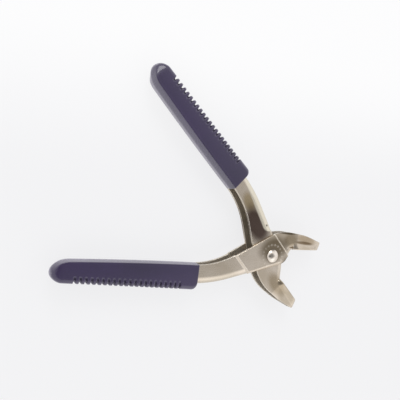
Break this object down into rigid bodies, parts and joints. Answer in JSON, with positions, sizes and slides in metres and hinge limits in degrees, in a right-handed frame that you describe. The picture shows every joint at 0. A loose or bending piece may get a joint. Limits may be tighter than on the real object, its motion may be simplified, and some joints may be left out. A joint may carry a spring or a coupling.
{
  "type": "snap setter pliers",
  "caption": "Hand pliers for setting snap fasteners: crossed pressed steel levers on a rivet, die sockets in flat pads, return spring, ribbed plastic grips.",
  "frame": {"origin": "centre of the bounding box in plan, on the plane that the pliers' lower rivet head touches when they lie on their side", "axes": "+X from the grips towards the jaws along the line halfway between the levers, +Y towards the upper grip and the upper jaw, +Z along the pivot's axis towards the domed rivet head"},
  "size_m": [0.1408, 0.1218, 0.0158],
  "materials": {
    "plated_steel": "satin nickel plate on pressed sheet steel",
    "rivet_steel": "bright nickel plate",
    "sleeve_steel": "turned steel, oiled",
    "spring_steel": "drawn spring wire",
    "grip_plastic": "dark violet dipped vinyl, satin"
  },
  "bodies": {
    "outer_side": {"outer_lever": "plated_steel", "lower_grip": "grip_plastic", "pivot_rivet": "rivet_steel", "rivet_washer": "plated_steel", "spacer_sleeve": "sleeve_steel", "opening_spring": "spring_steel"},
    "inner_side": {"inner_lever": "plated_steel", "upper_grip": "grip_plastic"}
  },
  "joints": [
    {"name": "handle_pivot", "type": "hinge", "parent": "outer_side", "child": "inner_side", "pos_m": [0.03897, 0, 0.00793], "axis": [0, 0, 1], "range_deg": [0, 46], "stiffness_Nm_per_rad": 0.43, "springref_deg": -20.05, "deforming": ["opening_spring"]}
  ]
}
